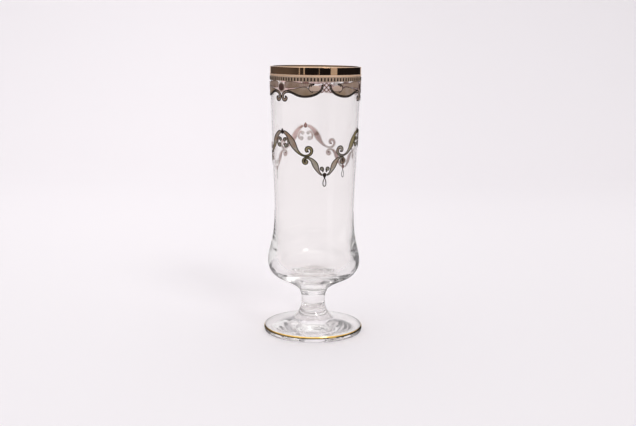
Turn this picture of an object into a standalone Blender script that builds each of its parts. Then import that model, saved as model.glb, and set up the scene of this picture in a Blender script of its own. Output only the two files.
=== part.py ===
"""Footed beer glass with gilded scroll ornament: one object for each piece, metres, +Z up, foot on z = 0."""

import math

import bmesh
import bpy
from mathutils import Vector
from mathutils.geometry import interpolate_bezier

# Foot
FOOT_RADIUS = 0.0374
FOOT_HEIGHT = 0.0190
FOOT_EDGE_HEIGHT = 0.0042
FOOT_EDGE_ROUND = 0.0009
FOOT_REST_WIDTH = 0.0015
FOOT_HOLLOW_DEPTH = 0.0014
HUB_RADIUS = 0.0150
HUB_HEIGHT = 0.0098
HUB_TOP_EASE = (0.15, 0.4)
HUB_FOOT_EASE = (0.45, 0.3)
FOOT_TOP_DISH = 0.45
HOLLOW_EASE = (0.2, 0.4)

# Stem
STEM_RADIUS = 0.0087
STEM_FOOT_RADIUS = 0.0091
STEM_LENGTH = 0.0107
COLLAR_RADIUS = 0.0102
STEM_TOP_EASE = 0.2
STEM_FOOT_EASE = 0.4

# Bowl, with heights above its own base
BOWL_HEIGHT = 0.1691
RIM_RADIUS = 0.0335
RIM_WALL = 0.0015
WAIST_RADIUS = 0.0299
WAIST_HEIGHT = 0.0610
WAIST_WALL = 0.0011
BULGE_RADIUS = 0.0348
BULGE_HEIGHT = 0.0240
BULGE_WALL = 0.0052
BULGE_ARC_RADIUS = 0.0140
UNDERSIDE_SLOPE = math.radians(26)
FLOOR_THICKNESS = 0.0140
CAVITY_CORNER_HEIGHT = 0.0150
COLLAR_EASE = 0.25
UNDERSIDE_EASE = 0.7
BULGE_EASE = 0.25
WAIST_EASE = 0.6
WALL_FOOT_EASE = 0.16
WALL_RIM_EASE = 0.32
CAVITY_EASE = 0.4
CORNER_EASE = 0.80
FLOOR_EASE = 0.80

# Gilding bands
FILM_THICKNESS = 0.0003
RIM_BAND_HEIGHT = 0.0045
RIM_BAND_INSIDE = 0.0016
GOLD_LINE_WIDTH = 0.0013
TICK_BAND_HEIGHT = 0.0030
TICK_COUNT = 87
TICK_MARGIN = 0.0006
TICK_DEPTH_SHARE = 0.5
FOOT_LINE_WIDTH = 0.0013
FOOT_LINE_INSET = 0.0003

# Ornament: three repeats round the bowl, each mirrored about its pendant
REPEATS = 3
FIRST_PENDANT = math.radians(13.5)
HALF_REPEAT = math.pi / REPEATS
BORDER_GAP = 0.0006
GARLAND_DROP = 0.0330
LATTICE_TOP_WIDTH = 0.0024
LATTICE_FOOT_WIDTH = 0.0052
LATTICE_HEIGHT = 0.0064
LATTICE_ARCH = 0.0012
LATTICE_BAR = 0.00045
LATTICE_COLUMNS = 3
LATTICE_ROWS = 2
ROUNDEL_DROP = 0.0037
ROUNDEL_WIDTH = 0.0046
ROUNDEL_HEIGHT = 0.0046
KNOT_DROP = 0.0329
KNOT_WIDTH = 0.0026
KNOT_HEIGHT = 0.0034
PEAK_DROP = 0.0026
PEAK_WIDTH = 0.0026
PEAK_HEIGHT = 0.0042
BOSS_CROWN = 0.0004
BOSS_FLAT = 0.55
BOSS_POINTS = 12
PENDANT_WIDTH = 0.0028
PENDANT_LENGTH = 0.0064
PENDANT_LINE = 0.0006
PENDANT_GAP = 0.0005
PENDANT_SHARPNESS = 0.35
PENDANT_POINTS = 12
RIBBON_TIP = 0.55
RIBBON_TIP_SHARE = 0.075

# Facets and clearances
SEGMENTS = 48
WELD_GAP = 0.0003
FILM_GAP = 0.0003
MERGE_DISTANCE = 0.000002
PATH_STEPS = 600
TURN_WEIGHT = 0.12
SHARP_ANGLE = math.radians(40)

STEM_BASE = FOOT_HEIGHT + WELD_GAP
STEM_TOP = STEM_BASE + STEM_LENGTH
BOWL_BASE = STEM_TOP + WELD_GAP
RIM_TOP = BOWL_BASE + BOWL_HEIGHT
WAIST_Z = BOWL_BASE + WAIST_HEIGHT
BULGE_Z = BOWL_BASE + BULGE_HEIGHT
FLOOR_Z = BOWL_BASE + FLOOR_THICKNESS
LINE_TOP = RIM_TOP - RIM_BAND_HEIGHT - FILM_GAP
TICK_TOP = LINE_TOP - GOLD_LINE_WIDTH - FILM_GAP
BORDER_TOP = TICK_TOP - TICK_BAND_HEIGHT - BORDER_GAP
GARLAND_TOP = BORDER_TOP - GARLAND_DROP
PENDANT_DROP = KNOT_DROP + KNOT_HEIGHT / 2 + PENDANT_GAP
FOOT_FLAT_RADIUS = FOOT_RADIUS - FOOT_EDGE_ROUND
FOOT_HOLLOW_RADIUS = FOOT_FLAT_RADIUS - FOOT_REST_WIDTH

# Scrolls, each from a start to an end: (share of half a repeat from the pendant, metres below the top of
# the border or of the garland). turn is the winding at each end in radians, grip the share of the length
# that winds, and bow the steady bend between. The ribbon is as wide as its stem, and swells by leaf round
# the share leaf_at.
BORDER_SCROLL = {
    "start": (0.890, 0.0109),
    "end": (0.086, 0.0015),
    "turn": (6.6, -3.1),
    "grip": (0.143, 0.30),
    "bow": 0.6,
    "stem": 0.0012,
    "leaf": 0.0034,
    "leaf_at": 0.53,
    "leaf_spread": 0.15,
    "sections": 18,
}
BORDER_VOLUTE = {
    "start": (0.268, 0.0064),
    "end": (0.245, 0.0015),
    "turn": (0.8, 1.0),
    "grip": (0.3, 0.3),
    "bow": 2.0,
    "stem": 0.0010,
    "leaf": 0.0006,
    "leaf_at": 0.5,
    "leaf_spread": 0.3,
    "sections": 10,
}
GARLAND_LEAF = {
    "start": (0.945, 0.0031),
    "end": (0.371, 0.0157),
    "turn": (2.17, -7.0),
    "grip": (0.236, 0.207),
    "bow": -1.53,
    "stem": 0.0011,
    "leaf": 0.0026,
    "leaf_at": 0.29,
    "leaf_spread": 0.16,
    "sections": 18,
}
GARLAND_CURL = {
    "start": (0.935, 0.0082),
    "end": (0.915, 0.0120),
    "turn": (3.0, 3.0),
    "grip": (0.20, 0.20),
    "bow": 0.0,
    "stem": 0.0007,
    "leaf": 0.0003,
    "leaf_at": 0.5,
    "leaf_spread": 0.2,
    "sections": 10,
}
GARLAND_SWAG = {
    "start": (0.436, 0.0228),
    "end": (0.062, 0.0329),
    "turn": (8.05, -2.04),
    "grip": (0.217, 0.252),
    "bow": 1.39,
    "stem": 0.0009,
    "leaf": 0.0021,
    "leaf_at": 0.68,
    "leaf_spread": 0.16,
    "sections": 18,
}
GARLAND_BUD = {
    "start": (0.066, 0.0283),
    "end": (0.044, 0.0308),
    "turn": (6.0, -0.6),
    "grip": (0.30, 0.30),
    "bow": 0.0,
    "stem": 0.0006,
    "leaf": 0.0002,
    "leaf_at": 0.5,
    "leaf_spread": 0.2,
    "sections": 10,
}


def clear_scene():
    for old in list(bpy.data.objects):
        bpy.data.objects.remove(old, do_unlink=True)


def clear_glass(name):
    material = bpy.data.materials.new(name)
    material.use_nodes = True
    shader = material.node_tree.nodes["Principled BSDF"]
    shader.inputs["Base Color"].default_value = (0.97, 0.98, 0.98, 1)
    shader.inputs["Roughness"].default_value = 0.02
    shader.inputs["Metallic"].default_value = 0.0
    shader.inputs["IOR"].default_value = 1.52
    shader.inputs["Transmission Weight"].default_value = 1.0
    return material


def fired_gold(name, colour, roughness):
    material = bpy.data.materials.new(name)
    material.use_nodes = True
    shader = material.node_tree.nodes["Principled BSDF"]
    shader.inputs["Base Color"].default_value = (*colour, 1)
    shader.inputs["Roughness"].default_value = roughness
    shader.inputs["Metallic"].default_value = 1.0
    return material


def placed(name, bm, material):
    mesh = bpy.data.meshes.new(name)
    bm.to_mesh(mesh)
    bm.free()
    mesh.shade_smooth()
    mesh.set_sharp_from_angle(angle=SHARP_ANGLE)
    mesh.materials.append(material)
    piece = bpy.data.objects.new(name, mesh)
    bpy.context.scene.collection.objects.link(piece)
    return piece


def turned_mesh(outline, ring, steps):
    """A closed outline of (radius, height) points spun round the axis of the glass."""
    bm = bmesh.new()
    points = [bm.verts.new((radius, 0, height)) for radius, height in outline]
    edges = [bm.edges.new(pair) for pair in zip(points, points[1:])]
    if ring:
        edges.append(bm.edges.new((points[-1], points[0])))
    bmesh.ops.spin(
        bm, geom=points + edges, axis=(0, 0, 1), cent=(0, 0, 0), angle=2 * math.pi, steps=steps
    )
    bmesh.ops.remove_doubles(bm, verts=bm.verts, dist=MERGE_DISTANCE)
    bmesh.ops.recalc_face_normals(bm, faces=bm.faces)
    return bm


def turned(name, outline, material, ring=False):
    return placed(name, turned_mesh(outline, ring, SEGMENTS), material)


def curve(start, handle_a, handle_b, end, pieces):
    """A cubic curve through (radius, height) points, without its first point."""
    corners = [Vector((*point, 0)) for point in (start, handle_a, handle_b, end)]
    return [(p.x, p.y) for p in interpolate_bezier(*corners, pieces + 1)[1:]]


def round_arc(centre, radii, first, last, pieces):
    """Points of a round or oval arc, without its first point; angles run from +r towards +z."""
    steps = [first + (last - first) * i / pieces for i in range(1, pieces + 1)]
    return [(centre[0] + radii[0] * math.cos(a), centre[1] + radii[1] * math.sin(a)) for a in steps]


def bowl_outside():
    """Outer side of the bowl from its collar up to the rim."""
    centre = (BULGE_RADIUS - BULGE_ARC_RADIUS, BULGE_Z)
    lowest = UNDERSIDE_SLOPE - math.pi / 2
    tangent = (
        centre[0] + BULGE_ARC_RADIUS * math.cos(lowest),
        centre[1] + BULGE_ARC_RADIUS * math.sin(lowest),
    )
    reach = UNDERSIDE_EASE * (tangent[0] - COLLAR_RADIUS)
    rise = COLLAR_EASE * (tangent[1] - BOWL_BASE)
    side = [(COLLAR_RADIUS, BOWL_BASE)]
    side += curve(
        side[-1],
        (COLLAR_RADIUS, BOWL_BASE + rise),
        (tangent[0] - reach, tangent[1] - reach * math.tan(UNDERSIDE_SLOPE)),
        tangent,
        4,
    )
    side += round_arc(centre, (BULGE_ARC_RADIUS, BULGE_ARC_RADIUS), lowest, 0, 5)
    climb = WAIST_Z - BULGE_Z
    side += curve(
        (BULGE_RADIUS, BULGE_Z),
        (BULGE_RADIUS, BULGE_Z + BULGE_EASE * climb),
        (WAIST_RADIUS, WAIST_Z - WAIST_EASE * climb),
        (WAIST_RADIUS, WAIST_Z),
        7,
    )
    climb = RIM_TOP - RIM_WALL / 2 - WAIST_Z
    side += curve(
        (WAIST_RADIUS, WAIST_Z),
        (WAIST_RADIUS, WAIST_Z + WALL_FOOT_EASE * climb),
        (RIM_RADIUS, WAIST_Z + (1 - WALL_RIM_EASE) * climb),
        (RIM_RADIUS, RIM_TOP - RIM_WALL / 2),
        7,
    )
    return side


def bowl_inside():
    """Inner side of the bowl from the lip down to the middle of its floor."""
    waist = WAIST_RADIUS - WAIST_WALL
    cavity = BULGE_RADIUS - BULGE_WALL
    corner = FLOOR_Z + CAVITY_CORNER_HEIGHT
    lip = (RIM_RADIUS - RIM_WALL, RIM_TOP - RIM_WALL / 2)
    climb = lip[1] - WAIST_Z
    side = curve(
        lip,
        (lip[0], WAIST_Z + (1 - WALL_RIM_EASE) * climb),
        (waist, WAIST_Z + WALL_FOOT_EASE * climb),
        (waist, WAIST_Z),
        6,
    )
    drop = WAIST_Z - corner
    side += curve(
        (waist, WAIST_Z),
        (waist, WAIST_Z - CAVITY_EASE * drop),
        (cavity, corner + CAVITY_EASE * drop),
        (cavity, corner),
        3,
    )
    side += curve(
        (cavity, corner),
        (cavity, corner - CORNER_EASE * CAVITY_CORNER_HEIGHT),
        (FLOOR_EASE * cavity, FLOOR_Z),
        (0, FLOOR_Z),
        6,
    )
    return side


def make_bowl(glass):
    lip = (RIM_RADIUS - RIM_WALL / 2, RIM_TOP - RIM_WALL / 2)
    outline = [(0, BOWL_BASE)] + bowl_outside()
    outline += round_arc(lip, (RIM_WALL / 2, RIM_WALL / 2), 0, math.pi, 4)
    outline += bowl_inside()
    return turned("bowl", outline, glass)


def make_stem(glass):
    side = curve(
        (COLLAR_RADIUS, STEM_TOP),
        (STEM_RADIUS, STEM_TOP - STEM_TOP_EASE * STEM_LENGTH),
        (STEM_RADIUS, STEM_BASE + STEM_FOOT_EASE * STEM_LENGTH),
        (STEM_FOOT_RADIUS, STEM_BASE),
        6,
    )
    outline = [(0, STEM_TOP), (COLLAR_RADIUS, STEM_TOP)] + side + [(0, STEM_BASE)]
    return turned("stem", outline, glass)


def foot_top_height(radius):
    """Height of the foot's sloping top between the hub and the edge."""
    share = (FOOT_FLAT_RADIUS - radius) / (FOOT_FLAT_RADIUS - HUB_RADIUS)
    rise = (1 - FOOT_TOP_DISH) * share + FOOT_TOP_DISH * share**2
    return FOOT_EDGE_HEIGHT + (HUB_HEIGHT - FOOT_EDGE_HEIGHT) * rise


def make_foot(glass):
    flare = HUB_RADIUS - STEM_FOOT_RADIUS
    fall = FOOT_HEIGHT - HUB_HEIGHT
    outline = [(0, FOOT_HEIGHT), (STEM_FOOT_RADIUS, FOOT_HEIGHT)]
    outline += curve(
        outline[-1],
        (STEM_FOOT_RADIUS + HUB_TOP_EASE[0] * flare, FOOT_HEIGHT - HUB_TOP_EASE[1] * fall),
        (HUB_RADIUS - HUB_FOOT_EASE[0] * flare, HUB_HEIGHT + HUB_FOOT_EASE[1] * fall),
        (HUB_RADIUS, HUB_HEIGHT),
        4,
    )
    rings = 4
    for i in range(1, rings + 1):
        radius = HUB_RADIUS + (FOOT_FLAT_RADIUS - HUB_RADIUS) * i / rings
        outline.append((radius, foot_top_height(radius)))
    half_edge = FOOT_EDGE_HEIGHT / 2
    middle = (FOOT_FLAT_RADIUS, half_edge)
    outline += round_arc(middle, (FOOT_EDGE_ROUND, half_edge), math.pi / 2, -math.pi / 2, 6)
    outline += [(FOOT_HOLLOW_RADIUS, 0)]
    outline += curve(
        (FOOT_HOLLOW_RADIUS, 0),
        ((1 - HOLLOW_EASE[0]) * FOOT_HOLLOW_RADIUS, FOOT_HOLLOW_DEPTH),
        (HOLLOW_EASE[1] * FOOT_HOLLOW_RADIUS, FOOT_HOLLOW_DEPTH),
        (0, FOOT_HOLLOW_DEPTH),
        3,
    )
    return turned("foot", outline, glass)


WALL = bowl_outside()


def wall_radius(height):
    """Outer radius of the bowl at a height between its bulge and its rim."""
    for (low_r, low_z), (high_r, high_z) in zip(WALL, WALL[1:]):
        if BULGE_Z <= low_z <= height <= high_z:
            return low_r + (high_r - low_r) * (height - low_z) / (high_z - low_z)
    return RIM_RADIUS


def film_ring(name, top, bottom, material):
    """A thin band of gilding round the outside of the bowl."""
    outline = [
        (wall_radius(top) + FILM_GAP, top),
        (wall_radius(top) + FILM_GAP + FILM_THICKNESS, top),
        (wall_radius(bottom) + FILM_GAP + FILM_THICKNESS, bottom),
        (wall_radius(bottom) + FILM_GAP, bottom),
    ]
    return turned(name, outline, material, ring=True)


def make_rim_gilding(gold):
    """Polished band: up the outside, over the round lip and a little way down inside."""
    lip = (RIM_RADIUS - RIM_WALL / 2, RIM_TOP - RIM_WALL / 2)
    near = RIM_WALL / 2 + FILM_GAP
    far = near + FILM_THICKNESS
    bottom = RIM_TOP - RIM_BAND_HEIGHT
    inside = lip[1] - RIM_BAND_INSIDE
    outline = [(wall_radius(bottom) + FILM_GAP + FILM_THICKNESS, bottom), (lip[0] + far, lip[1])]
    outline += round_arc(lip, (far, far), 0, math.pi, 4)
    outline += [(lip[0] - far, inside), (lip[0] - near, inside), (lip[0] - near, lip[1])]
    outline += round_arc(lip, (near, near), math.pi, 0, 4)
    outline += [(wall_radius(bottom) + FILM_GAP, bottom)]
    return turned("rim_gilding", outline, gold, ring=True)


def make_tick_band(gold):
    """A flat band whose outer side is sunk between upright ticks."""
    bottom = TICK_TOP - TICK_BAND_HEIGHT
    heights = [TICK_TOP, TICK_TOP - TICK_MARGIN, bottom + TICK_MARGIN, bottom]
    outline = [(wall_radius(z) + FILM_GAP + FILM_THICKNESS, z) for z in heights]
    outline += [(wall_radius(z) + FILM_GAP, z) for z in (bottom, TICK_TOP)]
    bm = turned_mesh(outline, ring=True, steps=2 * TICK_COUNT)
    middle = (TICK_TOP + bottom) / 2
    sunk = []
    for face in bm.faces:
        centre = face.calc_center_median()
        turn = math.atan2(centre.y, centre.x) / (math.pi / TICK_COUNT)
        outside = centre.xy.length > wall_radius(centre.z) + FILM_GAP + FILM_THICKNESS / 2
        if outside and abs(centre.z - middle) < TICK_MARGIN / 2 and math.floor(turn) % 2:
            sunk.append(face)
    for face in bmesh.ops.extrude_discrete_faces(bm, faces=sunk)["faces"]:
        inward = -face.normal * TICK_DEPTH_SHARE * FILM_THICKNESS
        bmesh.ops.translate(bm, verts=face.verts, vec=inward)
    bmesh.ops.recalc_face_normals(bm, faces=bm.faces)
    return placed("tick_band", bm, gold)


def make_foot_line(gold):
    outer = FOOT_FLAT_RADIUS - FOOT_LINE_INSET
    inner = outer - FOOT_LINE_WIDTH
    low = FILM_GAP
    high = FILM_GAP + FILM_THICKNESS
    outline = [
        (inner, foot_top_height(inner) + high),
        (outer, foot_top_height(outer) + high),
        (outer, foot_top_height(outer) + low),
        (inner, foot_top_height(inner) + low),
    ]
    return turned("foot_line", outline, gold, ring=True)


def on_wall(axis, side, angle, height, lift):
    """A point off the bowl's outer side, at an angle from a pendant's axis."""
    radius = wall_radius(height) + lift
    turn = axis + side * angle
    return Vector((radius * math.sin(turn), -radius * math.cos(turn), height))


def scroll_path(shape, top, reference):
    """Centre line of a scroll as (share, (arc, height)), wound at its ends and laid from start to end."""
    (turn_a, turn_b), (grip_a, grip_b) = shape["turn"], shape["grip"]
    heading = 0.0
    raw = [Vector((0, 0))]
    measure = [0.0]
    for i in range(PATH_STEPS):
        t = (i + 0.5) / PATH_STEPS
        bend = turn_a / grip_a * math.exp(-t / grip_a) + turn_b / grip_b * math.exp((t - 1) / grip_b)
        bend = (bend + shape["bow"]) / PATH_STEPS
        heading += bend
        raw.append(raw[-1] + Vector((math.cos(heading), math.sin(heading))) / PATH_STEPS)
        measure.append(measure[-1] + 1 / PATH_STEPS + TURN_WEIGHT * abs(bend))
    ends = (shape["start"], shape["end"])
    start, end = (Vector((share * HALF_REPEAT * reference, top - drop)) for share, drop in ends)
    span = raw[-1]
    wanted = end - start
    scale = wanted.length / span.length
    turn = math.atan2(wanted.y, wanted.x) - math.atan2(span.y, span.x)
    cos, sin = math.cos(turn) * scale, math.sin(turn) * scale
    path = []
    k = 0
    for i in range(shape["sections"] + 1):
        goal = measure[-1] * i / shape["sections"]
        while k < PATH_STEPS - 1 and measure[k + 1] < goal:
            k += 1
        part = (goal - measure[k]) / (measure[k + 1] - measure[k])
        p = raw[k].lerp(raw[k + 1], part)
        place = start + Vector((p.x * cos - p.y * sin, p.x * sin + p.y * cos))
        path.append(((k + part) / PATH_STEPS, place))
    return path


def scroll_width(shape, t):
    """Full width of a scroll's ribbon at share t of its length: a stem that swells into a leaf."""
    ends = RIBBON_TIP + (1 - RIBBON_TIP) * min(1.0, min(t, 1 - t) / RIBBON_TIP_SHARE)
    swell = math.exp(-(((t - shape["leaf_at"]) / shape["leaf_spread"]) ** 2))
    return shape["stem"] * ends + shape["leaf"] * swell


def scroll(name, shape, top, axis, side, gold):
    """A ribbon of raised gilding that follows a scroll's centre line on the bowl."""
    reference = wall_radius(top - (shape["start"][1] + shape["end"][1]) / 2)
    path = scroll_path(shape, top, reference)
    bm = bmesh.new()
    rails = []
    for i, (t, place) in enumerate(path):
        before = path[max(i - 1, 0)][1]
        after = path[min(i + 1, len(path) - 1)][1]
        across = (after - before).normalized().orthogonal() * scroll_width(shape, t) / 2
        pair = []
        for edge in (place - across, place + across):
            pair.append(bm.verts.new(on_wall(axis, side, edge.x / reference, edge.y, FILM_GAP)))
        rails.append(pair)
    for (a, b), (c, d) in zip(rails, rails[1:]):
        bm.faces.new((a, b, d, c))
    return film(name, bm, gold)


def film(name, bm, gold):
    """Gives a sheet on the bowl its film thickness, outwards."""
    bmesh.ops.recalc_face_normals(bm, faces=bm.faces)
    first = next(iter(bm.faces))
    centre = first.calc_center_median()
    if first.normal.dot(Vector((centre.x, centre.y, 0))) < 0:
        bmesh.ops.reverse_faces(bm, faces=bm.faces)
    piece = placed(name, bm, gold)
    solid = piece.modifiers.new("film", "SOLIDIFY")
    solid.thickness = FILM_THICKNESS
    solid.offset = 1
    return piece


def boss(name, axis, middle, width, height, gold):
    """A small oval boss with a crowned face."""
    bm = bmesh.new()
    rings = []
    reference = wall_radius(middle)
    face = FILM_GAP + FILM_THICKNESS
    for lift, share in ((FILM_GAP, 1), (face, 1), (face + BOSS_CROWN, BOSS_FLAT)):
        ring = []
        for i in range(BOSS_POINTS):
            a = 2 * math.pi * i / BOSS_POINTS
            across = share * width / 2 * math.cos(a) / reference
            up = middle + share * height / 2 * math.sin(a)
            ring.append(bm.verts.new(on_wall(axis, 1, across, up, lift)))
        rings.append(ring)
    for low, high in zip(rings, rings[1:]):
        for i in range(BOSS_POINTS):
            j = (i + 1) % BOSS_POINTS
            bm.faces.new((low[i], low[j], high[j], high[i]))
    bm.faces.new(rings[0])
    bm.faces.new(rings[-1])
    bmesh.ops.recalc_face_normals(bm, faces=bm.faces)
    return placed(name, bm, gold)


def make_lattice(name, axis, gold):
    """A diaper panel: a grid cut into diamonds, each opened, wider at its arched lower edge."""
    bm = bmesh.new()
    bmesh.ops.create_grid(bm, x_segments=LATTICE_COLUMNS, y_segments=LATTICE_ROWS, size=1)
    square = [edge for edge in bm.edges if not edge.is_boundary]
    bmesh.ops.poke(bm, faces=bm.faces)
    bmesh.ops.dissolve_edges(bm, edges=square)
    for vert in bm.verts:
        down = (1 - vert.co.y) / 2
        width = LATTICE_TOP_WIDTH + (LATTICE_FOOT_WIDTH - LATTICE_TOP_WIDTH) * down
        depth = LATTICE_HEIGHT - LATTICE_ARCH * (1 - vert.co.x**2)
        vert.co = (vert.co.x * width / 2, -down * depth, 0)
    opened = bmesh.ops.inset_individual(bm, faces=bm.faces, thickness=LATTICE_BAR / 2)["faces"]
    windows = [face for face in bm.faces if face not in set(opened)]
    bmesh.ops.delete(bm, geom=windows, context="FACES")
    reference = wall_radius(BORDER_TOP)
    for vert in bm.verts:
        vert.co = on_wall(axis, 1, vert.co.x / reference, BORDER_TOP + vert.co.y, FILM_GAP)
    return film(name, bm, gold)


def make_pendant(name, axis, gold):
    """An open drop: a ring of line gilding, round above and pointed below."""
    top = GARLAND_TOP - PENDANT_DROP
    reference = wall_radius(top)
    bm = bmesh.new()
    rings = []
    for inset in (0, PENDANT_LINE):
        half = PENDANT_WIDTH / 2 - inset
        length = PENDANT_LENGTH - 2 * inset
        ring = []
        for i in range(PENDANT_POINTS):
            a = 2 * math.pi * i / PENDANT_POINTS
            across = half * math.sin(a) * (1 - PENDANT_SHARPNESS * math.cos(a)) / reference
            height = top - inset - length * (1 - math.cos(a)) / 2
            ring.append(bm.verts.new(on_wall(axis, 1, across, height, FILM_GAP)))
        rings.append(ring)
    outer, inner = rings
    for i in range(PENDANT_POINTS):
        j = (i + 1) % PENDANT_POINTS
        bm.faces.new((outer[i], outer[j], inner[j], inner[i]))
    return film(name, bm, gold)


def make_repeat(place, axis, gold, line_gold):
    """One third of the border and of the garland, mirrored about its pendant."""
    peak = axis + HALF_REPEAT
    make_lattice(f"border_lattice_{place}", axis, line_gold)
    boss(f"border_roundel_{place}", peak, BORDER_TOP - ROUNDEL_DROP, ROUNDEL_WIDTH, ROUNDEL_HEIGHT, gold)
    boss(f"garland_peak_{place}", peak, GARLAND_TOP - PEAK_DROP, PEAK_WIDTH, PEAK_HEIGHT, gold)
    boss(f"garland_knot_{place}", axis, GARLAND_TOP - KNOT_DROP, KNOT_WIDTH, KNOT_HEIGHT, gold)
    make_pendant(f"garland_pendant_{place}", axis, line_gold)
    for side, hand in ((-1, "left"), (1, "right")):
        tag = f"{place}_{hand}"
        scroll(f"border_scroll_{tag}", BORDER_SCROLL, BORDER_TOP, axis, side, line_gold)
        scroll(f"border_volute_{tag}", BORDER_VOLUTE, BORDER_TOP, axis, side, line_gold)
        scroll(f"garland_leaf_{tag}", GARLAND_LEAF, GARLAND_TOP, axis, side, line_gold)
        scroll(f"garland_curl_{tag}", GARLAND_CURL, GARLAND_TOP, axis, side, line_gold)
        scroll(f"garland_swag_{tag}", GARLAND_SWAG, GARLAND_TOP, axis, side, line_gold)
        scroll(f"garland_bud_{tag}", GARLAND_BUD, GARLAND_TOP, axis, side, line_gold)


def main():
    clear_scene()
    glass = clear_glass("clear_glass")
    gold = fired_gold("polished_gold", (0.83, 0.57, 0.25), 0.12)
    line_gold = fired_gold("line_gold", (0.50, 0.40, 0.24), 0.35)
    make_bowl(glass)
    make_stem(glass)
    make_foot(glass)
    make_rim_gilding(gold)
    film_ring("gold_line", LINE_TOP, LINE_TOP - GOLD_LINE_WIDTH, gold)
    make_tick_band(line_gold)
    make_foot_line(gold)
    for k in range(REPEATS):
        make_repeat(k + 1, FIRST_PENDANT + 2 * HALF_REPEAT * k, gold, line_gold)


main()
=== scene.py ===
import bpy
import math
from mathutils import Matrix, Vector
from mathutils.geometry import interpolate_bezier


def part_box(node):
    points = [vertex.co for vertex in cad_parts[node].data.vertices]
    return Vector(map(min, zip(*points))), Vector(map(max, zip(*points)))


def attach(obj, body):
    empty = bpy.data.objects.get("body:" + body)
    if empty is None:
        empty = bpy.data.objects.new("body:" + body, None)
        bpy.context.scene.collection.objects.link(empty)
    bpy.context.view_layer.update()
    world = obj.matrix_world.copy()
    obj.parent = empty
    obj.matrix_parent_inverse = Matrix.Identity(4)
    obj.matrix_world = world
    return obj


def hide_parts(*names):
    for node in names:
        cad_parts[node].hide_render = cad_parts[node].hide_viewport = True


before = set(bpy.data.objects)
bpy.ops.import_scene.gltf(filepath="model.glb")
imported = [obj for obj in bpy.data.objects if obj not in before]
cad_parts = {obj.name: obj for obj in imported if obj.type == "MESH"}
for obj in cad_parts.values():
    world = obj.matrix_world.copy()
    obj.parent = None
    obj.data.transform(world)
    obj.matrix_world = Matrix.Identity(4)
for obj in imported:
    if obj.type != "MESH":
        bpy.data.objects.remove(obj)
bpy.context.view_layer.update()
print("frame loaded:", len(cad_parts), "nodes")

quarterPull = 0.5523  # handle length of a quarter circle of radius 1
perMetre = 1000  # the values that the ornament's materials read are in millimetres


# small helpers
def clearSelection():
    if bpy.context.object and bpy.context.object.mode != 'OBJECT':
        bpy.ops.object.mode_set(mode='OBJECT')
    bpy.ops.object.select_all(action='DESELECT')


def makeActive(piece):
    clearSelection()
    piece.select_set(True)
    bpy.context.view_layer.objects.active = piece


def newMaterial(name):
    material = bpy.data.materials.new(name)
    material.use_nodes = True
    tree = material.node_tree
    return material, tree.nodes, tree.links, tree.nodes["Principled BSDF"]


def joined(pieces):
    makeActive(pieces[0])
    for other in pieces[1:]:
        other.select_set(True)
    if len(pieces) > 1:
        bpy.ops.object.join()
    return bpy.context.object


def finishPiece(piece, name, materials, nodes, smoothAngle=40):
    makeActive(piece)
    bpy.ops.object.transform_apply(location=True, rotation=True, scale=True)
    bpy.ops.object.shade_smooth_by_angle(angle=math.radians(smoothAngle))
    piece.name = name
    for material in materials:
        piece.data.materials.append(material)
    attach(piece, "root")
    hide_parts(*nodes)


spun = {
    "steps": 144,
    "curveSteps": 16,
    "mergeDrawn": 1e-6,
    "mergeSpun": 2e-6,
}


def spinProfile(points, closed=False):
    # points are (place, handle before, handle after), each (radius, height)
    clearSelection()
    bpy.ops.curve.primitive_bezier_curve_add(location=(0, 0, 0))
    drawn = bpy.context.object
    drawn.data.resolution_u = spun["curveSteps"]
    spline = drawn.data.splines[0]
    spline.bezier_points.add(len(points) - 2)
    spline.use_cyclic_u = closed
    for knot, (place, before, after) in zip(spline.bezier_points, points):
        knot.handle_left_type = knot.handle_right_type = 'FREE'
        knot.co = (place[0], 0, place[1])
        knot.handle_left = (before[0], 0, before[1])
        knot.handle_right = (after[0], 0, after[1])
    bpy.ops.object.convert(target='MESH')
    bpy.ops.object.mode_set(mode='EDIT')
    bpy.ops.mesh.select_all(action='SELECT')
    bpy.ops.mesh.remove_doubles(threshold=spun["mergeDrawn"])
    bpy.ops.mesh.spin(steps=spun["steps"], angle=2 * math.pi, center=(0, 0, 0), axis=(0, 0, 1))
    bpy.ops.mesh.select_all(action='SELECT')
    bpy.ops.mesh.remove_doubles(threshold=spun["mergeSpun"])
    bpy.ops.mesh.normals_make_consistent(inside=False)
    bpy.ops.object.mode_set(mode='OBJECT')
    return bpy.context.object


def corner(radius, height):
    return ((radius, height), (radius, height), (radius, height))


def straightened(points):
    # corners get handles a third of the way to their neighbours, so that straight runs stay straight
    done = []
    for i, (place, before, after) in enumerate(points):
        last, following = points[i - 1], points[(i + 1) % len(points)]
        if before == place:
            before = tuple(p + (q - p) / 3 for p, q in zip(place, last[0]))
        if after == place:
            after = tuple(p + (q - p) / 3 for p, q in zip(place, following[0]))
        done.append((place, before, after))
    return done


# glass: bowl, stem and foot, welded hot into one body of clear glass
bowlLow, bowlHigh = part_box("bowl")
stemLow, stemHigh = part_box("stem")
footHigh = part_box("foot")[1]
glass = {
    "rimRadius": 0.0335,
    "rimWall": 0.0015,
    "waistRadius": 0.0299,
    "waistAt": 0.0610,
    "waistWall": 0.0011,
    "bulgeAt": 0.0240,
    "bulgeWall": 0.0052,
    "bulgeArc": 0.0140,
    "undersideSlope": math.radians(26),
    "floorThickness": 0.0140,
    "cavityCorner": 0.0150,
    "collarRadius": 0.0102,
    "stemRadius": 0.0087,
    "stemFootRadius": 0.0091,
    "hubRadius": 0.0150,
    "hubHeight": 0.0098,
    "footEdge": 0.0042,
    "footRound": 0.0009,
    "footRest": 0.0015,
    "footSlope": 0.55,
    "hollowDepth": 0.0014,
    "smoothAngle": 60,
    "weldReach": 1e-6,
}
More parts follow.
